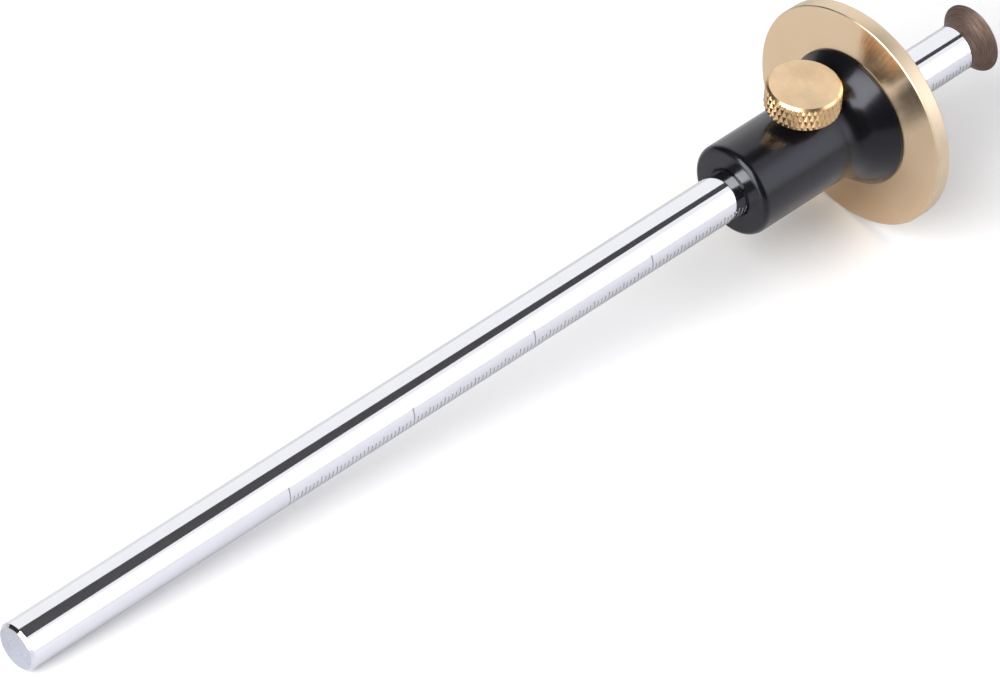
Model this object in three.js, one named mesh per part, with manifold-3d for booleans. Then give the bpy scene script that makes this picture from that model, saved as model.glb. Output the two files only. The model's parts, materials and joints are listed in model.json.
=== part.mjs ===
// Wheel marking gauge: a round steel beam with a disc cutter screwed on its end, and a
// sliding head (black collar, brass fence) that a knurled brass screw clamps to the beam.
// Millimetres. The tool is drawn along +X from the beam's free end, with the clamp screw
// along +Z, and is then laid on the ground the way it lies on a bench.

import * as THREE from 'three';
import { mergeVertices } from 'three/addons/utils/BufferGeometryUtils.js';
import Module from 'manifold-3d';

const wasm = await Module();
wasm.setup();

// Beam
const BEAM_RADIUS = 4;
const BEAM_LENGTH = 199.3;
const BEAM_FREE_CHAMFER = 0.45;
const BEAM_SEAT_CHAMFER = 0.2;
const TAPPED_HOLE_RADIUS = 1.5;
const TAPPED_HOLE_DEPTH = 12;
const DRILL_POINT_DEPTH = 0.8;

// Cutter wheel, measured back from its rim
const CUTTER_RADIUS = 5.95;
const CUTTER_LENGTH = 3.9;
const CUTTER_HUB_LENGTH = 0.45;
const CUTTER_COVE_RADIUS = 2.9;
const CUTTER_CONE_ANGLE = THREE.MathUtils.degToRad(41.5);
const CUTTER_HOLE_RADIUS = 1.6;
const COUNTERSINK_RADIUS = 3;

// Cutter screw, M3 countersunk with a hexagon socket
const SCREW_HEAD_RADIUS = 2.75;
const SCREW_SHANK_RADIUS = 1.42;
const SCREW_LENGTH = 13;
const SCREW_SETBACK = 0.15;
const SOCKET_ACROSS_FLATS = 2;
const SOCKET_DEPTH = 1.1;

// Head: the fence disc's near face is the datum of both head pieces
const FENCE_NEAR_X = 174.6;
const FENCE_THICKNESS = 2.9;
const FENCE_RADIUS = 19.65;
const FENCE_NEAR_BREAK = 0.15;
const FENCE_FAR_BREAK = 0.4;
const BOSS_RADIUS = 7.6;
const BOSS_LENGTH = 4.6;
const RECESS_RADIUS = 6.4;
const RECESS_DEPTH = 4.6;

// Collar
const COLLAR_NEAR_X = 147.45;
const COLLAR_RADIUS = 7.95;
const COLLAR_FACE_RADIUS = 7;
const COLLAR_EDGE_LENGTH = 1.25;
const MOUTH_CHAMFER = 0.35;
const FLARE_RADIUS = 12;
const FLARE_ANGLE = THREE.MathUtils.degToRad(39.5);
const FLARE_LAND = 0.5;
const COVE_RADIUS = 7;

// Drag rings in their grooves
const RING_SECTION_RADIUS = 0.85;
const RING_GROOVE_WIDTH = 2.2;
const RING_GROOVE_RADIUS = 5.9;
const FRONT_RING_X = 151.5;
const REAR_RING_X = 168.2;

// Clamp screw, M5, and the pad that it presses on the beam
const CLAMP_X = 162.7;
const CLAMP_TOP_Z = 14.1;
const CLAMP_HEAD_RADIUS = 6.25;
const CLAMP_HEAD_FACE_RADIUS = 5.7;
const CLAMP_HEAD_HEIGHT = 4.7;
const CLAMP_HEAD_CHAMFER_HEIGHT = 0.6;
const CLAMP_SHANK_RADIUS = 2.4;
const CLAMP_HOLE_RADIUS = 2.5;
const PAD_RADIUS = 2.2;
const PAD_THICKNESS = 1.3;

// Fits
const RUNNING_CLEARANCE = 0.05;
const SEAT_CLEARANCE = 0.05;

// Facets round each piece
const BEAM_SEGMENTS = 32;
const FENCE_SEGMENTS = 40;
const CUTTER_SEGMENTS = 40;
const CLAMP_SEGMENTS = 36;
const SMALL_SEGMENTS = 24;

// Solid of revolution about Y from a closed or axis-to-axis outline of [height, radius]
// points. Radii are to the flats, and the seam is turned half a facet, so that a flat, not
// a corner, faces along each axis.
function revolve(outline, segments) {
  const halfFacet = Math.PI / segments;
  const points = outline.map(
    ([height, radius]) => new THREE.Vector2(radius / Math.cos(halfFacet), height),
  );
  return new THREE.LatheGeometry(points, segments, halfFacet);
}

// A turned piece on the beam's axis, from [x, radius] points.
function revolveAboutX(outline, segments) {
  return revolve(outline, segments).rotateZ(-Math.PI / 2);
}

// A turned piece on the clamp screw's axis, from [z, radius] points.
function revolveAboutClampAxis(outline, segments) {
  return revolve(outline, segments).rotateX(Math.PI / 2).translate(CLAMP_X, 0, 0);
}

function toSolid(geometry) {
  const bare = geometry.clone();
  bare.deleteAttribute('normal');
  bare.deleteAttribute('uv');
  const merged = mergeVertices(bare, 1e-5);
  return new wasm.Manifold(new wasm.Mesh({
    numProp: 3,
    vertProperties: new Float32Array(merged.attributes.position.array),
    triVerts: new Uint32Array(merged.index.array),
  }));
}

function toGeometry(solid) {
  const mesh = solid.getMesh();
  const geometry = new THREE.BufferGeometry();
  geometry.setAttribute('position', new THREE.BufferAttribute(mesh.vertProperties, 3));
  geometry.setIndex(new THREE.BufferAttribute(mesh.triVerts, 1));
  geometry.computeVertexNormals();
  return geometry;
}

function cut(geometry, tool) {
  return toGeometry(toSolid(geometry).subtract(toSolid(tool)));
}

function makePart(name, geometry, finish) {
  const part = new THREE.Mesh(geometry, new THREE.MeshStandardMaterial(finish));
  part.name = name;
  return part;
}

const CHROME = { color: 0xe4e6ea, roughness: 0.06, metalness: 1 };
const TOOL_STEEL = { color: 0x7a6a62, roughness: 0.42, metalness: 1 };
const BLACK_OXIDE = { color: 0x2a2a2c, roughness: 0.45, metalness: 1 };
const BLACK_ANODISED = { color: 0x111114, roughness: 0.22, metalness: 0.3 };
const BRASS = { color: 0xd9b27a, roughness: 0.3, metalness: 1 };
const NYLON = { color: 0xe9e4d6, roughness: 0.6, metalness: 0 };
const RUBBER = { color: 0x141414, roughness: 0.8, metalness: 0 };

function makeBeam() {
  const outline = [
    [0, 0],
    [0, BEAM_RADIUS - BEAM_FREE_CHAMFER],
    [BEAM_FREE_CHAMFER, BEAM_RADIUS],
    [BEAM_LENGTH - BEAM_SEAT_CHAMFER, BEAM_RADIUS],
    [BEAM_LENGTH, BEAM_RADIUS - BEAM_SEAT_CHAMFER],
    [BEAM_LENGTH, TAPPED_HOLE_RADIUS],
    [BEAM_LENGTH - TAPPED_HOLE_DEPTH, TAPPED_HOLE_RADIUS],
    [BEAM_LENGTH - TAPPED_HOLE_DEPTH - DRILL_POINT_DEPTH, 0],
  ];
  return makePart('beam_rod', revolveAboutX(outline, BEAM_SEGMENTS), CHROME);
}

const CUTTER_BACK_X = BEAM_LENGTH + SEAT_CLEARANCE;
const CUTTER_FRONT_X = CUTTER_BACK_X + CUTTER_LENGTH;

// From the hub, a cove turns up to the cone's angle and the cone runs out to the rim. What
// is left of the cutter's length is the rim's narrow land.
function makeCutter() {
  const coveStart = CUTTER_BACK_X + CUTTER_HUB_LENGTH;
  const coveSteps = 5;
  const cove = [];
  for (let step = 0; step <= coveSteps; step += 1) {
    const angle = (step / coveSteps) * CUTTER_CONE_ANGLE;
    const x = coveStart + CUTTER_COVE_RADIUS * Math.sin(angle);
    cove.push([x, BEAM_RADIUS + CUTTER_COVE_RADIUS * (1 - Math.cos(angle))]);
  }
  const [coneX, coneRadius] = cove[coveSteps];
  const rimX = coneX + (CUTTER_RADIUS - coneRadius) / Math.tan(CUTTER_CONE_ANGLE);
  const countersinkDepth = COUNTERSINK_RADIUS - CUTTER_HOLE_RADIUS;
  const outline = [
    [CUTTER_BACK_X, CUTTER_HOLE_RADIUS],
    [CUTTER_BACK_X, BEAM_RADIUS],
    ...cove,
    [rimX, CUTTER_RADIUS],
    [CUTTER_FRONT_X, CUTTER_RADIUS],
    [CUTTER_FRONT_X, COUNTERSINK_RADIUS],
    [CUTTER_FRONT_X - countersinkDepth, CUTTER_HOLE_RADIUS],
    [CUTTER_BACK_X, CUTTER_HOLE_RADIUS],
  ];
  return makePart('cutter_wheel', revolveAboutX(outline, CUTTER_SEGMENTS), TOOL_STEEL);
}

function makeCutterScrew() {
  const topX = CUTTER_FRONT_X - SCREW_SETBACK;
  const headLength = SCREW_HEAD_RADIUS - SCREW_SHANK_RADIUS;
  const outline = [
    [topX - SCREW_LENGTH, 0],
    [topX - SCREW_LENGTH, SCREW_SHANK_RADIUS],
    [topX - headLength, SCREW_SHANK_RADIUS],
    [topX, SCREW_HEAD_RADIUS],
    [topX, 0],
  ];
  const socketOvershoot = 1;
  const socketRadius = SOCKET_ACROSS_FLATS / 2;
  const socketOutline = [
    [topX - SOCKET_DEPTH, 0],
    [topX - SOCKET_DEPTH, socketRadius],
    [topX + socketOvershoot, socketRadius],
    [topX + socketOvershoot, 0],
  ];
  const body = revolveAboutX(outline, SMALL_SEGMENTS);
  return makePart('cutter_screw', cut(body, revolveAboutX(socketOutline, 6)), BLACK_OXIDE);
}

const BORE_RADIUS = BEAM_RADIUS + RUNNING_CLEARANCE;

// Disc, boss that screws into the collar, and the recess that the cutter draws back into.
function makeFence() {
  const farX = FENCE_NEAR_X + FENCE_THICKNESS;
  const bossX = FENCE_NEAR_X - BOSS_LENGTH;
  const recessX = farX - RECESS_DEPTH;
  const outline = [
    [bossX, BORE_RADIUS],
    [bossX, BOSS_RADIUS],
    [FENCE_NEAR_X, BOSS_RADIUS],
    [FENCE_NEAR_X, FENCE_RADIUS - FENCE_NEAR_BREAK],
    [FENCE_NEAR_X + FENCE_NEAR_BREAK, FENCE_RADIUS],
    [farX - FENCE_FAR_BREAK, FENCE_RADIUS],
    [farX, FENCE_RADIUS - FENCE_FAR_BREAK],
    [farX, RECESS_RADIUS],
    [recessX, RECESS_RADIUS],
    [recessX, BORE_RADIUS],
    [bossX, BORE_RADIUS],
  ];
  return makePart('fence_disc', revolveAboutX(outline, FENCE_SEGMENTS), BRASS);
}

// Outer side of the collar from its rounded near edge to the land beside the fence.
function collarOuterOutline(rearX) {
  const points = [];
  const edgeSteps = 4;
  for (let step = 0; step <= edgeSteps; step += 1) {
    const angle = (step / edgeSteps) * Math.PI / 2;
    const x = COLLAR_NEAR_X + COLLAR_EDGE_LENGTH * (1 - Math.cos(angle));
    const radius = COLLAR_FACE_RADIUS + (COLLAR_RADIUS - COLLAR_FACE_RADIUS) * Math.sin(angle);
    points.push([x, radius]);
  }
  const coveRise = COVE_RADIUS * (1 - Math.cos(FLARE_ANGLE));
  const coneRun = (FLARE_RADIUS - COLLAR_RADIUS - coveRise) / Math.tan(FLARE_ANGLE);
  const coveStart = rearX - FLARE_LAND - coneRun - COVE_RADIUS * Math.sin(FLARE_ANGLE);
  const coveSteps = 5;
  for (let step = 0; step <= coveSteps; step += 1) {
    const angle = (step / coveSteps) * FLARE_ANGLE;
    const x = coveStart + COVE_RADIUS * Math.sin(angle);
    points.push([x, COLLAR_RADIUS + COVE_RADIUS * (1 - Math.cos(angle))]);
  }
  points.push([rearX - FLARE_LAND, FLARE_RADIUS]);
  points.push([rearX, FLARE_RADIUS]);
  return points;
}

// Inner side of one ring groove, walked from its rear wall to its front wall.
function grooveOutline(centreX) {
  const half = RING_GROOVE_WIDTH / 2;
  return [
    [centreX + half, BORE_RADIUS],
    [centreX + half, RING_GROOVE_RADIUS],
    [centreX - half, RING_GROOVE_RADIUS],
    [centreX - half, BORE_RADIUS],
  ];
}

function makeCollar() {
  const rearX = FENCE_NEAR_X - SEAT_CLEARANCE;
  const counterboreX = FENCE_NEAR_X - BOSS_LENGTH - SEAT_CLEARANCE;
  const counterboreRadius = BOSS_RADIUS + SEAT_CLEARANCE;
  const outline = [
    [COLLAR_NEAR_X, BORE_RADIUS + MOUTH_CHAMFER],
    ...collarOuterOutline(rearX),
    [rearX, counterboreRadius],
    [counterboreX, counterboreRadius],
    [counterboreX, BORE_RADIUS],
    ...grooveOutline(REAR_RING_X),
    ...grooveOutline(FRONT_RING_X),
    [COLLAR_NEAR_X + MOUTH_CHAMFER, BORE_RADIUS],
    [COLLAR_NEAR_X, BORE_RADIUS + MOUTH_CHAMFER],
  ];
  const body = revolveAboutX(outline, FENCE_SEGMENTS);
  const holeOutline = [
    [0, 0],
    [0, CLAMP_HOLE_RADIUS],
    [FLARE_RADIUS, CLAMP_HOLE_RADIUS],
    [FLARE_RADIUS, 0],
  ];
  const hole = revolveAboutClampAxis(holeOutline, SMALL_SEGMENTS);
  return makePart('fence_collar', cut(body, hole), BLACK_ANODISED);
}

// Rubber ring lightly touching the beam: an eight-sided section turned about the beam.
function makeDragRing(name, centreX) {
  const sides = 8;
  const sectionCentre = BORE_RADIUS + RING_SECTION_RADIUS;
  const outline = [];
  for (let side = 0; side <= sides; side += 1) {
    const angle = -(side / sides) * Math.PI * 2;
    const x = centreX + RING_SECTION_RADIUS * Math.cos(angle);
    outline.push([x, sectionCentre + RING_SECTION_RADIUS * Math.sin(angle)]);
  }
  return makePart(name, revolveAboutX(outline, BEAM_SEGMENTS), RUBBER);
}

const PAD_BOTTOM_Z = BEAM_RADIUS + RUNNING_CLEARANCE;
const PAD_TOP_Z = PAD_BOTTOM_Z + PAD_THICKNESS;

function makePressurePad() {
  const outline = [
    [PAD_BOTTOM_Z, 0],
    [PAD_BOTTOM_Z, PAD_RADIUS],
    [PAD_TOP_Z, PAD_RADIUS],
    [PAD_TOP_Z, 0],
  ];
  return makePart('pressure_pad', revolveAboutClampAxis(outline, SMALL_SEGMENTS), NYLON);
}

function makeClampScrew() {
  const headBottomZ = CLAMP_TOP_Z - CLAMP_HEAD_HEIGHT;
  const outline = [
    [PAD_TOP_Z + SEAT_CLEARANCE, 0],
    [PAD_TOP_Z + SEAT_CLEARANCE, CLAMP_SHANK_RADIUS],
    [headBottomZ, CLAMP_SHANK_RADIUS],
    [headBottomZ, CLAMP_HEAD_FACE_RADIUS],
    [headBottomZ + CLAMP_HEAD_CHAMFER_HEIGHT, CLAMP_HEAD_RADIUS],
    [CLAMP_TOP_Z - CLAMP_HEAD_CHAMFER_HEIGHT, CLAMP_HEAD_RADIUS],
    [CLAMP_TOP_Z, CLAMP_HEAD_FACE_RADIUS],
    [CLAMP_TOP_Z, 0],
  ];
  return makePart('clamp_screw', revolveAboutClampAxis(outline, CLAMP_SEGMENTS), BRASS);
}

const tool = new THREE.Group();
tool.add(
  makeBeam(),
  makeCutter(),
  makeCutterScrew(),
  makeCollar(),
  makeFence(),
  makeDragRing('front_drag_ring', FRONT_RING_X),
  makeDragRing('rear_drag_ring', REAR_RING_X),
  makePressurePad(),
  makeClampScrew(),
);

// Lying on the ground, the tool touches it with the beam's free end and the fence's near
// edge. The tilt is the slope of the line through the lowest flats of those two circles.
const contactSpan = FENCE_NEAR_X + FENCE_NEAR_BREAK - BEAM_FREE_CHAMFER;
tool.rotation.y = -Math.atan2(FENCE_RADIUS - BEAM_RADIUS, contactSpan);

// The origin is on the ground under the middle of the tool's box.
const box = new THREE.Box3().setFromObject(tool, true);
const middle = box.getCenter(new THREE.Vector3());
tool.position.set(-middle.x, -middle.y, -box.min.z);

const gauge = new THREE.Group();
gauge.add(tool);

export default gauge;
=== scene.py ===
import json
import math

import bmesh
import bpy
from mathutils import Matrix, Vector


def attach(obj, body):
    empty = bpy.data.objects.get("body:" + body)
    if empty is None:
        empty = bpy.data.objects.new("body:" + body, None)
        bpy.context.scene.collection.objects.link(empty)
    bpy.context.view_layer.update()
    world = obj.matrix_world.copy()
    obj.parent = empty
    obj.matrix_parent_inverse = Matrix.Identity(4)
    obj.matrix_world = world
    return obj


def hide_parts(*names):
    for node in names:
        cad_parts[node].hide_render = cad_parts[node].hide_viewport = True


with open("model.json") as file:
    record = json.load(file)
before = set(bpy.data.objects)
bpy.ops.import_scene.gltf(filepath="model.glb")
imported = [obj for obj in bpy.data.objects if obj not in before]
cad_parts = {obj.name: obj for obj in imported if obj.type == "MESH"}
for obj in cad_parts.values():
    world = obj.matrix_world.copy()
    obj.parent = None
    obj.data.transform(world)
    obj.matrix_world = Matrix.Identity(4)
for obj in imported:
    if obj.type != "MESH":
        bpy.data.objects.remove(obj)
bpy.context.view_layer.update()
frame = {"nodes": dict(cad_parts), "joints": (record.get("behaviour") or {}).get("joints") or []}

# Looks of a wheel marking gauge. Each piece is drawn in the tool's own frame in
# millimetres (x along the beam from its free end, z along the clamp screw), with its main
# sizes measured on the CAD nodes, and TOOL then carries it into the row frame in metres.

MM = 0.001

# Beam
BEAM_FREE_CHAMFER = 0.45
BEAM_SEAT_CHAMFER = 0.2
TAPPED_HOLE_RADIUS = 1.5
TAPPED_HOLE_DEPTH = 12
DRILL_POINT_DEPTH = 0.8
BEAM_COLUMN_DEG = 5

# Engraved scale: angles are about the beam, from +y towards +z
SCALE_ZERO_SETBACK = 0.5
INCH = 25.4
SCALE_INCHES = 6
MARKS_PER_INCH = 32
MARKS_PER_GROUP = 4
MARK_WIDTH = 0.2
MARK_DEPTH = 0.05
MARK_END_MARGIN_DEG = 1
SCALE_COLUMN_DEG = 2.5
LONG_MARK_TOP_DEG = 150
GROUP_MARK_TOP_DEG = 172.5
FINE_MARK_TOP_DEG = 177.5
SCALE_BASE_DEG = 215

# Cutter wheel and its screw
CUTTER_HUB_LENGTH = 0.45
CUTTER_COVE_RADIUS = 2.9
CUTTER_COVE_STEPS = 16
CUTTER_CONE_DEG = 41.5
CUTTER_HOLE_RADIUS = 1.6
COUNTERSINK_RADIUS = 3
SCREW_SHANK_RADIUS = 1.42
SOCKET_ACROSS_FLATS = 2
SOCKET_DEPTH = 1.1
SOCKET_SIDES = 6

# Head
BORE_RADIUS = 4.05
FENCE_THICKNESS = 2.9
FENCE_NEAR_BREAK = 0.15
FENCE_FAR_BREAK = 0.4
BOSS_RADIUS = 7.6
RECESS_RADIUS = 6.4
RECESS_DEPTH = 4.6
COLLAR_RADIUS = 7.95
COLLAR_FACE_RADIUS = 7
COLLAR_EDGE_LENGTH = 1.25
COLLAR_EDGE_STEPS = 12
MOUTH_CHAMFER = 0.35
COUNTERBORE_RADIUS = 7.65
COUNTERBORE_DEPTH = 4.6
FLARE_DEG = 39.5
FLARE_LAND = 0.5
COVE_RADIUS = 7
COVE_STEPS = 24
RING_GROOVE_WIDTH = 2.2
RING_GROOVE_RADIUS = 5.9
RING_FLASH = 0.05
RING_SECTION_STEPS = 32

# Clamp screw
CLAMP_FACE_RADIUS = 5.7
CLAMP_CHAMFER_HEIGHT = 0.6
CLAMP_HEAD_HEIGHT = 4.7
CLAMP_SHANK_RADIUS = 2.4
CLAMP_HOLE_RADIUS = 2.5
THREAD_PITCH = 0.8
THREAD_DEPTH = 0.4
THREAD_STEPS = 10
KNURL_COUNT = 40
KNURL_LENGTH = 2.62
KNURL_DEPTH = 0.26
KNURL_STEPS = 8
KNURL_FLAT = 0.15
KNURL_BELOW_HEAD = 0.31
KNURL_ABOVE_HEAD = 0.3

SMOOTH_SEGMENTS = 160
SMALL_SEGMENTS = 48
FILLET_STEPS = 3
SHARP_DEG = 20
EDGE = 0.06
PAD_EDGE = 3 * EDGE
TINY = 1e-6

# Materials: relief is in metres, and a noise value mostly lies in the middle range
ACROSS_GROOVES = 0.25
FINE_RELIEF = 0.00001
NOISE_MIDDLE = (0.3, 0.7)

# Camera and stage
CAMERA_AIM_X = 97.57
CAMERA_AZIMUTH_DEG = -49.63
CAMERA_ELEVATION_DEG = 41.41
CAMERA_ROLL_DEG = 8.82
CAMERA_DISTANCE = 0.94007
CAMERA_LENS = 219.87
CAMERA_SHIFT = -0.0008
CAMERA_CLIP = (0.01, 50)
FLOOR_SIZE = 6.0
PAPER_GLOW = 0.03
TABLE_LIFT = 0.00005
WALL_BACK_EDGE_DEG = (-8, 20)
WALL_FRONT_EDGE_DEG = (178, 160)
WALL_TOP_EDGE_DEG = (74, 62)
HORIZON_EDGE = (-0.02, 0.0)
WALL_STRENGTH = 1.1
WALL_COLOUR = (1.0, 1.0, 1.0)
GLOW_DIRECTION = (0.51, -0.70, 0.50)
GLOW_EDGE_DEG = (28, 4)
GLOW_STRENGTH = 1.1
GLOW_COLOUR = (0.97, 0.97, 1.07)
ROOM_STRENGTH = 0.04
SOFTBOX_PLACE = (-0.72, -0.07, 0.47)
SOFTBOX_TARGET = (0.07, 0.0, 0.02)
SOFTBOX_SIZE = (0.75, 1.0)
SOFTBOX_RADIANCE = 6.6

# Dark card overhead: its height above the beam and its corners, in the tool's millimetres
CARD_HEIGHT = 500
CARD_FAR_EDGE = [(215, 325), (285, 279), (482, 152), (600, 40)]
CARD_NEAR_EDGE = [(600, -78), (456, -63), (246, -184), (200, -210)]


# ---------------------------------------------------------------- the tool's frame

joints = {joint["name"]: joint for joint in frame["joints"]}
ALONG = Vector(joints["head_slide"]["axis"]).normalized()
UP = Vector(joints["clamp_turn"]["axis"]).normalized()
SIDE = UP.cross(ALONG)


def span(node, direction):
    """Lowest and highest reach of a CAD node along a direction, in metres."""
    reaches = [vertex.co.dot(direction) for vertex in frame["nodes"][node].data.vertices]
    return min(reaches), max(reaches)


beam_along = span("beam_rod", ALONG)
beam_up = span("beam_rod", UP)
ORIGIN = ALONG * beam_along[0] + UP * (sum(beam_up) / 2)
TURN = Matrix((ALONG, SIDE, UP)).transposed().to_4x4()
TOOL = Matrix.Translation(ORIGIN) @ TURN @ Matrix.Scale(MM, 4)


def reach(node):
    """Near x, far x and radius of a CAD node turned about the beam, in millimetres."""
    near, far = span(node, ALONG)
    return (near - beam_along[0]) / MM, (far - beam_along[0]) / MM, span(node, SIDE)[1] / MM


def clamp_reach(node):
    """Bottom z, top z and radius of a CAD node turned about the clamp screw."""
    bottom, top = span(node, UP)
    middle = ORIGIN.dot(UP)
    return (bottom - middle) / MM, (top - middle) / MM, span(node, SIDE)[1] / MM


CLAMP_X = (Vector(joints["clamp_turn"]["pos_m"]) - ORIGIN).dot(ALONG) / MM


# ---------------------------------------------------------------- making meshes

def about_beam(height, radius, angle):
    return (height, radius * math.cos(angle), radius * math.sin(angle))


def about_clamp(height, radius, angle):
    return (CLAMP_X + radius * math.cos(angle), radius * math.sin(angle), height)


def even_angles(count):
    return [math.tau * index / count for index in range(count)]


def rounded(corners):
    """Outline through (height, radius, fillet) corners of a closed shape."""
    outline = []
    for index, (height, radius, fillet) in enumerate(corners):
        corner = Vector((height, radius))
        if fillet == 0:
            outline.append(tuple(corner))
            continue
        back = (Vector(corners[index - 1][:2]) - corner).normalized()
        ahead = (Vector(corners[(index + 1) % len(corners)][:2]) - corner).normalized()
        half = back.angle(ahead) / 2
        centre = corner + (back + ahead).normalized() * (fillet / math.sin(half))
        start = corner + back * (fillet / math.tan(half)) - centre
        end = corner + ahead * (fillet / math.tan(half)) - centre
        sweep = start.angle_signed(end)
        for step in range(FILLET_STEPS + 1):
            turned = Matrix.Rotation(-sweep * step / FILLET_STEPS, 2) @ start
            outline.append(tuple(centre + turned))
    return outline


def arc(centre, radii, start_deg, end_deg, steps):
    """(height, radius) points on an ellipse about centre, both ends included."""
    points = []
    for step in range(steps + 1):
        angle = math.radians(start_deg + (end_deg - start_deg) * step / steps)
        height = centre[0] + radii[0] * math.cos(angle)
        points.append((height, centre[1] + radii[1] * math.sin(angle)))
    return points


def turned_mesh(name, outline, angles, place, sink=None):
    """Solid turned from (height, radius) points that start and end on the axis or close
    on themselves. sink(height, angle) is how far a point lies below the outline."""
    closed = outline[0][1] > 0
    vertices = []
    rows = []
    for height, radius in outline:
        row_angles = angles if radius > 0 else [0]
        rows.append(range(len(vertices), len(vertices) + len(row_angles)))
        for angle in row_angles:
            depth = sink(height, angle) if sink and radius > 0 else 0
            vertices.append(place(height, radius - depth, angle))
    if closed:
        rows.append(rows[0])
    faces = []
    for near, far in zip(rows, rows[1:]):
        for index in range(len(angles)):
            following = (index + 1) % len(angles)
            corners = [near[index % len(near)], near[following % len(near)]]
            corners += [far[following % len(far)], far[index % len(far)]]
            faces.append(list(dict.fromkeys(corners)))
    return solid_mesh(name, vertices, faces)


def solid_mesh(name, vertices, faces):
    """Mesh object with its faces pointing out."""
    mesh = bpy.data.meshes.new(name)
    mesh.from_pydata(vertices, [], faces)
    shell = bmesh.new()
    shell.from_mesh(mesh)
    bmesh.ops.recalc_face_normals(shell, faces=shell.faces)
    shell.to_mesh(mesh)
    shell.free()
    piece = bpy.data.objects.new(name, mesh)
    bpy.context.scene.collection.objects.link(piece)
    return piece


def combine(piece, other, operation):
    """Cuts other out of piece, joins it on or keeps what they share, and removes it."""
    modifier = piece.modifiers.new("combine", "BOOLEAN")
    modifier.object = other
    modifier.operation = operation
    modifier.solver = "EXACT"
    evaluated = piece.evaluated_get(bpy.context.evaluated_depsgraph_get())
    result = bpy.data.meshes.new_from_object(evaluated)
    piece.modifiers.clear()
    piece.data = result
    bpy.data.objects.remove(other)
    return piece


def dress(piece, materials, choose=None):
    """Gives the piece its materials; choose(centre) says which one a face takes."""
    piece.data.materials.clear()
    for material in materials:
        piece.data.materials.append(material)
    for face in piece.data.polygons:
        face.material_index = choose(face.center) if choose else 0


def settle(piece, body, node):
    """Carries the piece from the tool's frame to the row frame and ties it to the CAD."""
    piece.data.transform(TOOL)
    piece.data.shade_smooth()
    piece.data.set_sharp_from_angle(angle=math.radians(SHARP_DEG))
    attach(piece, body)
    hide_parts(node)


# ---------------------------------------------------------------- making materials
# The node helpers take a material or the world.

def new_material(name, constants):
    """Principled material with constant values set straight on its sockets."""
    material = bpy.data.materials.new(name)
    material.use_nodes = True
    shader = material.node_tree.nodes["Principled BSDF"]
    for socket, value in constants.items():
        shader.inputs[socket].default_value = value
    return material


def add(material, kind, inputs=None, **settings):
    """Adds a node; each input is another node's output or a constant."""
    tree = material.node_tree
    node = tree.nodes.new(kind)
    for setting, value in settings.items():
        setattr(node, setting, value)
    for socket, value in (inputs or {}).items():
        if isinstance(value, bpy.types.NodeSocket):
            tree.links.new(value, node.inputs[socket])
        else:
            node.inputs[socket].default_value = value
    return node


def connect(material, output, socket):
    shader = material.node_tree.nodes["Principled BSDF"]
    material.node_tree.links.new(output, shader.inputs[socket])


def maths(material, operation, first, second=0.0):
    return add(material, "ShaderNodeMath", {0: first, 1: second}, operation=operation).outputs[0]


def tool_point(material):
    """Position in the tool's frame, in millimetres."""
    position = add(material, "ShaderNodeTexCoord").outputs["Object"]
    inputs = {"Vector": position, "Location": ORIGIN, "Rotation": TURN.to_euler()}
    inputs["Scale"] = (MM, MM, MM)
    return add(material, "ShaderNodeMapping", inputs, vector_type="TEXTURE").outputs[0]


def turned_point(material, along, across, around):
    """Coordinates for marks left by turning: x scaled by along, the radius by across, and
    the direction round the beam's axis by around."""
    split = add(material, "ShaderNodeSeparateXYZ", {0: tool_point(material)}).outputs
    x, y, z = split[0], split[1], split[2]
    y_squared = maths(material, "POWER", y, 2.0)
    z_squared = maths(material, "POWER", z, 2.0)
    squares = maths(material, "ADD", y_squared, z_squared)
    radius = maths(material, "SQRT", maths(material, "MAXIMUM", squares, TINY))
    lengthwise = maths(material, "MULTIPLY", x, along)
    outwards = maths(material, "MULTIPLY", radius, across)
    rings = maths(material, "ADD", lengthwise, outwards)
    round_y = maths(material, "MULTIPLY", maths(material, "DIVIDE", y, radius), around)
    round_z = maths(material, "MULTIPLY", maths(material, "DIVIDE", z, radius), around)
    return add(material, "ShaderNodeCombineXYZ", {0: rings, 1: round_y, 2: round_z}).outputs[0]


def noise(material, vector, scale, detail=2.0, rough=0.5):
    inputs = {"Vector": vector, "Scale": scale, "Detail": detail, "Roughness": rough}
    return add(material, "ShaderNodeTexNoise", inputs).outputs["Fac"]


def spread(material, value, low, high):
    """Maps a noise value's middle range to low .. high."""
    inputs = {"Value": value, 1: NOISE_MIDDLE[0], 2: NOISE_MIDDLE[1], 3: low, 4: high}
    return add(material, "ShaderNodeMapRange", inputs).outputs[0]


def blend_colours(material, factor, first, second):
    """Colour mix; a Mix node's colours are its inputs 6 and 7 and its output 2."""
    node = add(material, "ShaderNodeMix", {"Factor": factor}, data_type="RGBA")
    node.inputs[6].default_value = (*first, 1)
    node.inputs[7].default_value = (*second, 1)
    return node.outputs[2]


def bump(material, height, strength, distance):
    """Small relief; distance is the height of a full step, in metres."""
    inputs = {"Height": height, "Strength": strength, "Distance": distance}
    connect(material, add(material, "ShaderNodeBump", inputs).outputs[0], "Normal")


def radial_tangent(material, axis):
    tangent = add(material, "ShaderNodeTangent", direction_type="RADIAL", axis=axis).outputs[0]
    connect(material, tangent, "Tangent")


def chrome():
    """Polished plating with the faintest waviness and polishing lines along the beam."""
    material = new_material("polished_chrome", {"Metallic": 1.0})
    lines = noise(material, turned_point(material, 0.6, 1.0, 12.0), 1.0, 3.0)
    haze = noise(material, tool_point(material), 0.25, 3.0)
    colour = blend_colours(material, haze, (0.73, 0.735, 0.775), (0.78, 0.785, 0.82))
    connect(material, colour, "Base Color")
    connect(material, spread(material, lines, 0.035, 0.075), "Roughness")
    bump(material, lines, 0.05, FINE_RELIEF)
    return material


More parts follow.
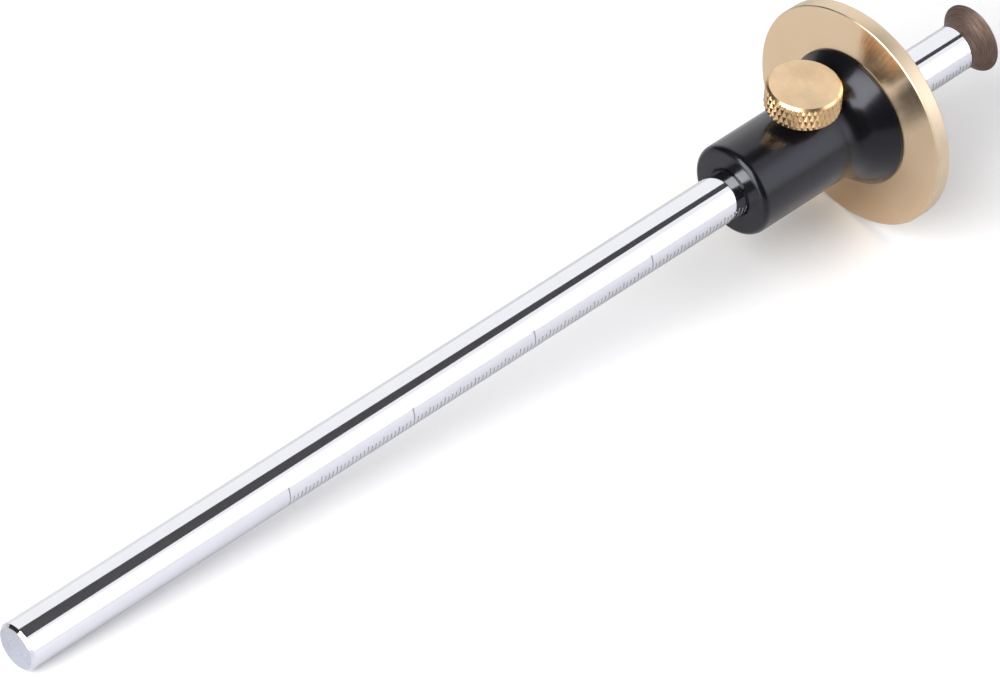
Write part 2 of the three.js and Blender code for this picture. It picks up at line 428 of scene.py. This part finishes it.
def satin_end():
    """The beam's faced end: a fine lathe finish under the plating."""
    material = new_material("faced_end", {"Metallic": 1.0})
    rings = noise(material, turned_point(material, 0.0, 9.0, 0.5), 1.0, 3.0)
    cloud = noise(material, tool_point(material), 0.8, 2.0)
    colour = blend_colours(material, cloud, (0.56, 0.58, 0.64), (0.63, 0.65, 0.71))
    connect(material, colour, "Base Color")
    connect(material, spread(material, rings, 0.22, 0.36), "Roughness")
    bump(material, rings, 0.2, FINE_RELIEF)
    return material


def scale_ink():
    """Etched marks: dull grey, a little uneven."""
    material = new_material("etched_marks", {"Metallic": 0.9})
    patches = noise(material, tool_point(material), 3.0, 3.0)
    colour = blend_colours(material, patches, (0.34, 0.345, 0.39), (0.44, 0.445, 0.49))
    connect(material, colour, "Base Color")
    connect(material, spread(material, patches, 0.4, 0.6), "Roughness")
    return material


def anodised_black():
    """Black anodised aluminium over a fine turned surface."""
    constants = {"IOR": 1.8, "Specular Tint": (0.3, 0.3, 0.345, 1)}
    constants |= {"Coat Weight": 0.35, "Coat IOR": 1.3, "Coat Roughness": 0.12}
    material = new_material("black_anodised", constants)
    rings = noise(material, turned_point(material, 6.0, 6.0, 0.6), 1.0, 3.0)
    cloud = noise(material, tool_point(material), 0.35, 3.0)
    colour = blend_colours(material, cloud, (0.003, 0.003, 0.004), (0.006, 0.006, 0.008))
    connect(material, colour, "Base Color")
    connect(material, spread(material, rings, 0.18, 0.25), "Roughness")
    bump(material, rings, 0.12, FINE_RELIEF)
    return material


def turned_brass():
    """Fence faces: pale brass whose fine turning marks fan every reflection outwards."""
    constants = {"Metallic": 1.0, "Anisotropic": 1.0, "Anisotropic Rotation": ACROSS_GROOVES}
    material = new_material("turned_brass", constants)
    rings = noise(material, turned_point(material, 7.0, 7.0, 0.4), 1.0, 3.0)
    tarnish = noise(material, tool_point(material), 0.18, 4.0)
    colour = blend_colours(material, tarnish, (0.97, 0.70, 0.45), (1.0, 0.80, 0.55))
    connect(material, colour, "Base Color")
    connect(material, spread(material, rings, 0.15, 0.185), "Roughness")
    bump(material, rings, 0.04, FINE_RELIEF)
    radial_tangent(material, "X")
    return material


def rim_brass():
    """Fence rim: the same brass, burnished, with a few soft dull patches."""
    material = new_material("rim_brass", {"Metallic": 1.0})
    rings = noise(material, turned_point(material, 5.0, 5.0, 0.6), 1.0, 3.0)
    dull = noise(material, tool_point(material), 0.22, 3.0)
    colour = blend_colours(material, dull, (0.62, 0.50, 0.35), (0.86, 0.71, 0.52))
    connect(material, colour, "Base Color")
    connect(material, spread(material, dull, 0.34, 0.48), "Roughness")
    bump(material, rings, 0.06, FINE_RELIEF)
    return material


def knurled_brass():
    """Sides of the clamp screw: warmer brass, a little uneven from handling."""
    material = new_material("knurled_brass", {"Metallic": 1.0})
    blotches = noise(material, tool_point(material), 0.45, 5.0, 0.6)
    grain = noise(material, tool_point(material), 5.0, 3.0)
    colour = blend_colours(material, blotches, (0.68, 0.45, 0.23), (0.86, 0.62, 0.36))
    connect(material, colour, "Base Color")
    connect(material, spread(material, blotches, 0.22, 0.34), "Roughness")
    bump(material, grain, 0.1, FINE_RELIEF)
    return material


def faced_brass():
    """Top of the clamp screw: faced on the lathe, mottled by fingers."""
    constants = {"Metallic": 1.0, "Anisotropic": 0.5, "Anisotropic Rotation": ACROSS_GROOVES}
    material = new_material("faced_brass", constants)
    blotches = noise(material, tool_point(material), 0.3, 4.0, 0.55)
    grain = noise(material, tool_point(material), 2.0, 3.0)
    colour = blend_colours(material, blotches, (0.66, 0.46, 0.28), (0.92, 0.70, 0.46))
    connect(material, colour, "Base Color")
    connect(material, spread(material, grain, 0.3, 0.4), "Roughness")
    bump(material, blotches, 0.35, 4 * FINE_RELIEF)
    radial_tangent(material, "Z")
    return material


def tinted_steel():
    """Cutter flank: brown-tinted steel with broken grinding lines round it."""
    material = new_material("tinted_steel", {"Metallic": 1.0})
    streaks = noise(material, turned_point(material, 5.0, 5.0, 2.0), 1.0, 4.0, 0.6)
    tint = spread(material, streaks, 0.0, 1.0)
    colour = blend_colours(material, tint, (0.15, 0.105, 0.085), (0.30, 0.22, 0.185))
    connect(material, colour, "Base Color")
    connect(material, spread(material, streaks, 0.75, 0.6), "Roughness")
    bump(material, streaks, 0.5, 2 * FINE_RELIEF)
    return material


def ground_steel():
    """Bare ground steel: the cutter's rim and front face."""
    constants = {"Metallic": 1.0, "Anisotropic": 0.7, "Anisotropic Rotation": ACROSS_GROOVES}
    material = new_material("ground_steel", constants)
    rings = noise(material, turned_point(material, 8.0, 8.0, 1.0), 1.0, 3.0)
    colour = blend_colours(material, rings, (0.30, 0.30, 0.32), (0.46, 0.46, 0.49))
    connect(material, colour, "Base Color")
    connect(material, spread(material, rings, 0.25, 0.4), "Roughness")
    bump(material, rings, 0.2, FINE_RELIEF)
    radial_tangent(material, "X")
    return material


def black_oxide():
    material = new_material("black_oxide", {"Metallic": 0.9})
    grain = noise(material, tool_point(material), 4.0, 4.0)
    colour = blend_colours(material, grain, (0.020, 0.020, 0.022), (0.055, 0.055, 0.06))
    connect(material, colour, "Base Color")
    connect(material, spread(material, grain, 0.35, 0.55), "Roughness")
    bump(material, grain, 0.2, FINE_RELIEF)
    return material


def nylon():
    material = new_material("nylon", {"Subsurface Weight": 0.1})
    grain = noise(material, tool_point(material), 2.5, 3.0)
    colour = blend_colours(material, grain, (0.72, 0.69, 0.60), (0.80, 0.78, 0.70))
    connect(material, colour, "Base Color")
    connect(material, spread(material, grain, 0.45, 0.65), "Roughness")
    bump(material, grain, 0.2, 2 * FINE_RELIEF)
    return material


def rubber():
    material = new_material("ring_rubber", {"Specular IOR Level": 0.35})
    grain = noise(material, tool_point(material), 6.0, 4.0)
    colour = blend_colours(material, grain, (0.010, 0.010, 0.010), (0.025, 0.025, 0.025))
    connect(material, colour, "Base Color")
    connect(material, spread(material, grain, 0.55, 0.8), "Roughness")
    bump(material, grain, 0.3, 2 * FINE_RELIEF)
    return material


# ---------------------------------------------------------------- pieces on the beam

cutter_near_x, cutter_far_x, cutter_radius = reach("cutter_wheel")
_, beam_far_x, beam_radius = reach("beam_rod")


def mark_top_deg(number):
    if number % MARKS_PER_INCH == 0:
        return LONG_MARK_TOP_DEG
    if number % MARKS_PER_GROUP == 0:
        return GROUP_MARK_TOP_DEG
    return FINE_MARK_TOP_DEG


def scale_marks():
    """{x: angle of the mark's top end} for each mark that fits on the beam."""
    zero_x = cutter_far_x - SCALE_ZERO_SETBACK
    last_x = beam_far_x - BEAM_SEAT_CHAMFER - MARK_WIDTH
    marks = {}
    for number in range(SCALE_INCHES * MARKS_PER_INCH, -1, -1):
        x = zero_x - number * INCH / MARKS_PER_INCH
        if x < last_x:
            marks[x] = mark_top_deg(number)
    return marks


def beam_angles():
    """Columns round the beam, closer together where the scale is."""
    angles = []
    for index in range(round(360 / SCALE_COLUMN_DEG)):
        angle = index * SCALE_COLUMN_DEG
        if angle % BEAM_COLUMN_DEG == 0 or LONG_MARK_TOP_DEG <= angle <= SCALE_BASE_DEG:
            angles.append(math.radians(angle))
    return angles


def make_beam():
    marks = scale_marks()
    hole_end = beam_far_x - TAPPED_HOLE_DEPTH
    outline = [(0, 0), (0, beam_radius - BEAM_FREE_CHAMFER), (BEAM_FREE_CHAMFER, beam_radius)]
    for x in marks:
        outline += [(x - MARK_WIDTH / 2, beam_radius), (x, beam_radius), (x + MARK_WIDTH / 2, beam_radius)]
    outline += [
        (beam_far_x - BEAM_SEAT_CHAMFER, beam_radius),
        (beam_far_x, beam_radius - BEAM_SEAT_CHAMFER),
        (beam_far_x, TAPPED_HOLE_RADIUS),
        (hole_end, TAPPED_HOLE_RADIUS),
        (hole_end - DRILL_POINT_DEPTH, 0),
    ]

    def mark_depth(x, angle):
        top = marks.get(x)
        if top is None:
            return 0
        low = top + MARK_END_MARGIN_DEG
        high = SCALE_BASE_DEG - MARK_END_MARGIN_DEG
        return MARK_DEPTH if low < math.degrees(angle) < high else 0

    def finish_of(centre):
        angle = math.degrees(math.atan2(centre.z, centre.y)) % 360
        if centre.x < EDGE:
            return 1
        if LONG_MARK_TOP_DEG < angle < SCALE_BASE_DEG and centre.x < cutter_near_x:
            nearest = min(marks, key=lambda x: abs(x - centre.x))
            if abs(nearest - centre.x) < MARK_WIDTH / 2 and angle > marks[nearest]:
                return 2
        return 0

    beam = turned_mesh("steel_beam", outline, beam_angles(), about_beam, mark_depth)
    dress(beam, [chrome(), satin_end(), scale_ink()], finish_of)
    settle(beam, "beam", "beam_rod")


def make_cutter():
    cone = math.radians(CUTTER_CONE_DEG)
    cove_x = cutter_near_x + CUTTER_HUB_LENGTH
    cove_centre = (cove_x, beam_radius + CUTTER_COVE_RADIUS)
    cove = arc(cove_centre, (CUTTER_COVE_RADIUS,) * 2, -90, -90 + CUTTER_CONE_DEG, CUTTER_COVE_STEPS)
    cone_x, cone_radius = cove[-1]
    rim_x = cone_x + (cutter_radius - cone_radius) / math.tan(cone)
    countersink_depth = COUNTERSINK_RADIUS - CUTTER_HOLE_RADIUS
    outline = [
        (cutter_near_x, CUTTER_HOLE_RADIUS),
        (cutter_near_x, beam_radius - EDGE),
        (cutter_near_x + EDGE, beam_radius),
        *cove,
        (rim_x, cutter_radius),
        (cutter_far_x - EDGE, cutter_radius),
        (cutter_far_x, cutter_radius - EDGE),
        (cutter_far_x, COUNTERSINK_RADIUS),
        (cutter_far_x - countersink_depth, CUTTER_HOLE_RADIUS),
    ]

    def finish_of(centre):
        radius = math.hypot(centre.y, centre.z)
        return 1 if centre.x > rim_x and radius > COUNTERSINK_RADIUS else 0

    cutter = turned_mesh("wheel_cutter", outline, even_angles(SMOOTH_SEGMENTS), about_beam)
    dress(cutter, [tinted_steel(), ground_steel()], finish_of)
    settle(cutter, "cutter", "cutter_wheel")


def make_cutter_screw():
    near_x, far_x, head_radius = reach("cutter_screw")
    outline = [
        (near_x, 0),
        (near_x, SCREW_SHANK_RADIUS - EDGE),
        (near_x + EDGE, SCREW_SHANK_RADIUS),
        (far_x - (head_radius - SCREW_SHANK_RADIUS), SCREW_SHANK_RADIUS),
        (far_x - EDGE, head_radius - EDGE / 2),
        (far_x, head_radius - EDGE),
        (far_x, 0),
    ]
    corner_radius = SOCKET_ACROSS_FLATS / 2 / math.cos(math.pi / SOCKET_SIDES)
    socket_outline = [
        (far_x - SOCKET_DEPTH - corner_radius / 2, 0),
        (far_x - SOCKET_DEPTH, corner_radius),
        (far_x + SOCKET_DEPTH, corner_radius),
        (far_x + SOCKET_DEPTH, 0),
    ]
    screw = turned_mesh("socket_screw", outline, even_angles(SMALL_SEGMENTS), about_beam)
    socket = turned_mesh("socket", socket_outline, even_angles(SOCKET_SIDES), about_beam)
    combine(screw, socket, "DIFFERENCE")
    dress(screw, [black_oxide()])
    settle(screw, "beam", "cutter_screw")


# ---------------------------------------------------------------- the head

def make_fence():
    boss_x, far_x, radius = reach("fence_disc")
    near_x = far_x - FENCE_THICKNESS
    recess_x = far_x - RECESS_DEPTH
    corners = [
        (boss_x, BORE_RADIUS, EDGE),
        (boss_x, BOSS_RADIUS, EDGE),
        (near_x, BOSS_RADIUS, EDGE),
        (near_x, radius - FENCE_NEAR_BREAK, EDGE),
        (near_x + FENCE_NEAR_BREAK, radius, EDGE),
        (far_x - FENCE_FAR_BREAK, radius, EDGE),
        (far_x, radius - FENCE_FAR_BREAK, EDGE),
        (far_x, RECESS_RADIUS, EDGE),
        (recess_x, RECESS_RADIUS, EDGE),
        (recess_x, BORE_RADIUS, EDGE),
    ]
    fence = turned_mesh("brass_fence", rounded(corners), even_angles(SMOOTH_SEGMENTS), about_beam)

    def finish_of(centre):
        return 1 if math.hypot(centre.y, centre.z) > radius - FENCE_FAR_BREAK + EDGE / 2 else 0

    dress(fence, [turned_brass(), rim_brass()], finish_of)
    settle(fence, "head", "fence_disc")


def collar_outside(near_x, far_x, flare_radius):
    """From the rounded near edge, along the barrel and up the cove to the flare's land."""
    edge_radii = (COLLAR_EDGE_LENGTH, COLLAR_RADIUS - COLLAR_FACE_RADIUS)
    edge_centre = (near_x + COLLAR_EDGE_LENGTH, COLLAR_FACE_RADIUS)
    points = arc(edge_centre, edge_radii, 180, 90, COLLAR_EDGE_STEPS)
    flare = math.radians(FLARE_DEG)
    cove_rise = COVE_RADIUS * (1 - math.cos(flare))
    cone_run = (flare_radius - COLLAR_RADIUS - cove_rise) / math.tan(flare)
    cove_x = far_x - FLARE_LAND - cone_run - COVE_RADIUS * math.sin(flare)
    cove_centre = (cove_x, COLLAR_RADIUS + COVE_RADIUS)
    points += arc(cove_centre, (COVE_RADIUS,) * 2, -90, -90 + FLARE_DEG, COVE_STEPS)
    land_x = far_x - FLARE_LAND
    points += [(land_x - EDGE, flare_radius - EDGE), (land_x + EDGE, flare_radius)]
    points += [(far_x - EDGE, flare_radius), (far_x, flare_radius - EDGE)]
    return points


def ring_groove(ring):
    """One drag ring's groove in the bore, walked from its rear wall to its front wall."""
    near_x, far_x, _ = reach(ring)
    centre_x = (near_x + far_x) / 2
    front_x = centre_x - RING_GROOVE_WIDTH / 2
    rear_x = centre_x + RING_GROOVE_WIDTH / 2
    return [
        (rear_x + EDGE, BORE_RADIUS),
        (rear_x, BORE_RADIUS + EDGE),
        (rear_x, RING_GROOVE_RADIUS),
        (front_x, RING_GROOVE_RADIUS),
        (front_x, BORE_RADIUS + EDGE),
        (front_x - EDGE, BORE_RADIUS),
    ]


def make_collar():
    near_x, far_x, flare_radius = reach("fence_collar")
    counterbore_x = far_x - COUNTERBORE_DEPTH
    outline = [
        (near_x, BORE_RADIUS + MOUTH_CHAMFER),
        *collar_outside(near_x, far_x, flare_radius),
        (far_x, COUNTERBORE_RADIUS + EDGE),
        (far_x - EDGE, COUNTERBORE_RADIUS),
        (counterbore_x, COUNTERBORE_RADIUS),
        (counterbore_x, BORE_RADIUS),
        *ring_groove("rear_drag_ring"),
        *ring_groove("front_drag_ring"),
        (near_x + MOUTH_CHAMFER, BORE_RADIUS),
    ]
    hole_edge = COLLAR_RADIUS - 2 * EDGE
    hole_outline = [
        (0, 0),
        (0, CLAMP_HOLE_RADIUS),
        (hole_edge, CLAMP_HOLE_RADIUS),
        (hole_edge + flare_radius, CLAMP_HOLE_RADIUS + flare_radius),
        (hole_edge + flare_radius, 0),
    ]
    collar = turned_mesh("black_collar", outline, even_angles(SMOOTH_SEGMENTS), about_beam)
    hole = turned_mesh("hole", hole_outline, even_angles(SMALL_SEGMENTS), about_clamp)
    combine(collar, hole, "DIFFERENCE")
    dress(collar, [anodised_black()])
    settle(collar, "head", "fence_collar")


def make_drag_ring(name, node):
    """Rubber ring with the fine flash line of its mould round the outside."""
    near_x, far_x, radius = reach(node)
    section_radius = (far_x - near_x) / 2
    centre = ((near_x + far_x) / 2, radius - section_radius)
    section_radii = (section_radius, section_radius - RING_FLASH)
    outline = []
    for height, ring_radius in arc(centre, section_radii, 0, 360, RING_SECTION_STEPS)[:-1]:
        on_flash = abs(height - centre[0]) < TINY
        flash = RING_FLASH if on_flash and ring_radius > centre[1] else 0
        outline.append((height, ring_radius + flash))
    ring = turned_mesh(name, outline, even_angles(SMOOTH_SEGMENTS), about_beam)
    dress(ring, [rubber()])
    settle(ring, "drag_rings", node)


# ---------------------------------------------------------------- the clamp

def knurl_depth(column, row):
    """Depth of two crossing families of V grooves that leave flat-topped diamonds."""
    depths = []
    for phase in (column + row, column - row):
        from_ridge = abs(2 * (phase % KNURL_STEPS) / KNURL_STEPS - 1)
        depths.append(max(0, (from_ridge - KNURL_FLAT) / (1 - KNURL_FLAT)))
    return KNURL_DEPTH * max(depths)


def knurled_cylinder(bottom, top, radius):
    """Knurl whose grooves and ridges run along the edges of its triangles."""
    columns = KNURL_COUNT * KNURL_STEPS
    rows = math.ceil((top - bottom) / (KNURL_LENGTH / KNURL_STEPS)) + 1
    vertices = []
    for row in range(rows):
        for column in range(columns):
            angle = math.tau * column / columns
            height = bottom + row * KNURL_LENGTH / KNURL_STEPS
            vertices.append(about_clamp(height, radius - knurl_depth(column, row), angle))
    faces = [range(columns), range((rows - 1) * columns, rows * columns)]
    for row in range(rows - 1):
        for column in range(columns):
            low = row * columns
            high = low + columns
            following = (column + 1) % columns
            corners = [low + column, low + following, high + following, high + column]
            if (column - row) % KNURL_STEPS == 0 or (column + row + 1) % KNURL_STEPS == 0:
                shift = 0 if (column - row) % KNURL_STEPS == 0 else 1
            else:
                shift = (column + row) % 2
            corners = corners[shift:] + corners[:shift]
            faces += [corners[:3], [corners[2], corners[3], corners[0]]]
    return solid_mesh("knurl", vertices, [list(face) for face in faces])


def make_clamp_screw():
    tip_z, top_z, radius = clamp_reach("clamp_screw")
    head_z = top_z - CLAMP_HEAD_HEIGHT
    head_corners = [
        (head_z, 0),
        (head_z, CLAMP_FACE_RADIUS),
        (head_z + CLAMP_CHAMFER_HEIGHT, radius),
        (top_z - CLAMP_CHAMFER_HEIGHT, radius),
        (top_z, CLAMP_FACE_RADIUS),
        (top_z, 0),
    ]
    head = turned_mesh("thumb_screw", head_corners, even_angles(SMOOTH_SEGMENTS), about_clamp)
    knurl = knurled_cylinder(head_z - KNURL_BELOW_HEAD, top_z + KNURL_ABOVE_HEAD, radius)
    combine(head, knurl, "INTERSECT")

    def thread_sink(height, angle):
        phase = (height / THREAD_PITCH - angle / math.tau) % 1
        return THREAD_DEPTH * abs(2 * phase - 1)

    turns = (head_z - tip_z) / THREAD_PITCH
    rows = round(turns * THREAD_STEPS)
    shank_outline = [(tip_z, 0), (tip_z, CLAMP_SHANK_RADIUS - THREAD_DEPTH)]
    for row in range(1, rows):
        shank_outline.append((tip_z + row * THREAD_PITCH / THREAD_STEPS, CLAMP_SHANK_RADIUS))
    shank_outline += [(head_z + EDGE, CLAMP_SHANK_RADIUS), (head_z + EDGE, 0)]
    shank = turned_mesh("shank", shank_outline, even_angles(SMALL_SEGMENTS), about_clamp, thread_sink)
    combine(head, shank, "UNION")

    def finish_of(centre):
        return 1 if centre.z > top_z - EDGE else 0

    dress(head, [knurled_brass(), faced_brass()], finish_of)
    settle(head, "thumb", "clamp_screw")


def make_pressure_pad():
    bottom, top, radius = clamp_reach("pressure_pad")
    outline = [
        (bottom, 0),
        (bottom, radius - PAD_EDGE),
        (bottom + PAD_EDGE, radius),
        (top - PAD_EDGE, radius),
        (top, radius - PAD_EDGE),
        (top, 0),
    ]
    pad = turned_mesh("nylon_pad", outline, even_angles(SMALL_SEGMENTS), about_clamp)
    dress(pad, [nylon()])
    settle(pad, "clamp_pad", "pressure_pad")


# ---------------------------------------------------------------- stage, light, camera

def tool_place(x, y, z):
    """A point given in tool millimetres, in the row frame."""
    return TOOL @ Vector((x, y, z))


def floor_plane(name, height, dark, pale, constants):
    """Large plain floor with a barely uneven tone."""
    material = new_material(name, constants)
    cloud = noise(material, add(material, "ShaderNodeTexCoord").outputs["Object"], 2.0, 2.0)
    connect(material, blend_colours(material, cloud, dark, pale), "Base Color")
    half = FLOOR_SIZE / 2
    corners = [(x, y, height) for x, y in ((-half, -half), (half, -half), (half, half), (-half, half))]
    mesh = bpy.data.meshes.new(name)
    mesh.from_pydata(corners, [], [(0, 1, 2, 3)])
    mesh.materials.append(material)
    floor = bpy.data.objects.new(name, mesh)
    bpy.context.scene.collection.objects.link(floor)
    floor.visible_shadow = False
    return floor


def make_floor():
    """White paper to the eye, and a greyer tabletop for the metal to reflect."""
    overexposed = {"Roughness": 0.9, "Emission Color": (1, 1, 1, 1), "Emission Strength": PAPER_GLOW}
    paper = floor_plane("paper", 0, (0.90, 0.90, 0.90), (0.92, 0.92, 0.92), overexposed)
    paper.visible_glossy = False
    table = floor_plane("table", TABLE_LIFT, (0.60, 0.60, 0.62), (0.62, 0.62, 0.64), {"Roughness": 0.3})
    table.visible_camera = False
    table.visible_diffuse = False


def make_ceiling_gap():
    """A dark card overhead, which only reflections show."""
    mesh = bpy.data.meshes.new("ceiling_gap")
    corners = [tool_place(x, y, CARD_HEIGHT) for x, y in CARD_FAR_EDGE + CARD_NEAR_EDGE]
    mesh.from_pydata(corners, [], [range(len(corners))])
    gap = bpy.data.objects.new("ceiling_gap", mesh)
    bpy.context.scene.collection.objects.link(gap)
    material = new_material("ceiling_gap", {"Base Color": (0.08, 0.077, 0.08, 1), "Roughness": 1.0})
    gap.data.materials.append(material)
    gap.visible_camera = False
    gap.visible_diffuse = False
    gap.visible_shadow = False


def soft_step(world, value, start, end):
    """Rises smoothly from 0 at start to 1 at end."""
    inputs = {"Value": value, 1: start, 2: end, 3: 0.0, 4: 1.0}
    return add(world, "ShaderNodeMapRange", inputs, interpolation_type="SMOOTHSTEP").outputs[0]


def make_world():
    """Dim room with a white wall from the back round to the right, and a soft glow on it at
    the front right."""
    world = bpy.data.worlds.new("studio")
    bpy.context.scene.world = world
    world.use_nodes = True
    direction = add(world, "ShaderNodeTexCoord").outputs["Generated"]
    split = add(world, "ShaderNodeSeparateXYZ", {0: direction}).outputs
    azimuth = maths(world, "ARCTAN2", split["X"], split["Y"])
    back_edge = soft_step(world, azimuth, *(math.radians(a) for a in WALL_BACK_EDGE_DEG))
    front_edge = soft_step(world, azimuth, *(math.radians(a) for a in WALL_FRONT_EDGE_DEG))
    top_edge = soft_step(world, split["Z"], *(math.sin(math.radians(a)) for a in WALL_TOP_EDGE_DEG))
    ground = soft_step(world, split["Z"], *HORIZON_EDGE)
    sideways = maths(world, "MULTIPLY", back_edge, front_edge)
    wall = maths(world, "MULTIPLY", maths(world, "MULTIPLY", sideways, top_edge), WALL_STRENGTH)
    glow_inputs = {0: direction, 1: GLOW_DIRECTION}
    toward_glow = add(world, "ShaderNodeVectorMath", glow_inputs, operation="DOT_PRODUCT").outputs["Value"]
    glow = soft_step(world, toward_glow, *(math.cos(math.radians(a)) for a in GLOW_EDGE_DEG))
    light = maths(world, "ADD", maths(world, "MULTIPLY", glow, GLOW_STRENGTH), wall)
    room = maths(world, "ADD", light, ROOM_STRENGTH)
    background = world.node_tree.nodes["Background"]
    tint = blend_colours(world, glow, WALL_COLOUR, GLOW_COLOUR)
    world.node_tree.links.new(tint, background.inputs["Color"])
    world.node_tree.links.new(maths(world, "MULTIPLY", room, ground), background.inputs["Strength"])


def make_softbox():
    """Rectangular light on the left; its radiance is what a mirror would show of it."""
    light = bpy.data.lights.new("left_softbox", "AREA")
    light.shape = "RECTANGLE"
    light.size, light.size_y = SOFTBOX_SIZE
    light.energy = SOFTBOX_RADIANCE * math.pi * SOFTBOX_SIZE[0] * SOFTBOX_SIZE[1]
    box = bpy.data.objects.new("left_softbox", light)
    bpy.context.scene.collection.objects.link(box)
    box.location = SOFTBOX_PLACE
    aim = Vector(SOFTBOX_TARGET) - Vector(SOFTBOX_PLACE)
    box.rotation_euler = aim.to_track_quat("-Z", "Y").to_euler()


def make_camera():
    azimuth = math.radians(CAMERA_AZIMUTH_DEG)
    elevation = math.radians(CAMERA_ELEVATION_DEG)
    level = math.cos(elevation)
    back = Vector((math.sin(azimuth) * level, -math.cos(azimuth) * level, math.sin(elevation)))
    right = Vector((math.cos(azimuth), math.sin(azimuth), 0))
    level_view = Matrix((right, back.cross(right), back)).transposed()
    turn = Matrix.Rotation(math.radians(CAMERA_ROLL_DEG), 3, back) @ level_view
    data = bpy.data.cameras.new("camera")
    data.lens = CAMERA_LENS
    data.shift_x = CAMERA_SHIFT
    data.clip_start, data.clip_end = CAMERA_CLIP
    camera = bpy.data.objects.new("camera", data)
    bpy.context.scene.collection.objects.link(camera)
    place = tool_place(CAMERA_AIM_X, 0, 0) + back * CAMERA_DISTANCE
    camera.matrix_world = Matrix.Translation(place) @ turn.to_4x4()
    bpy.context.scene.camera = camera


make_camera()
make_world()
make_softbox()
make_floor()
make_ceiling_gap()
bpy.context.scene.view_settings.view_transform = "Standard"

make_beam()
make_cutter()
make_cutter_screw()
make_collar()
make_fence()
make_drag_ring("front_ring", "front_drag_ring")
make_drag_ring("rear_ring", "rear_drag_ring")
make_clamp_screw()
make_pressure_pad()
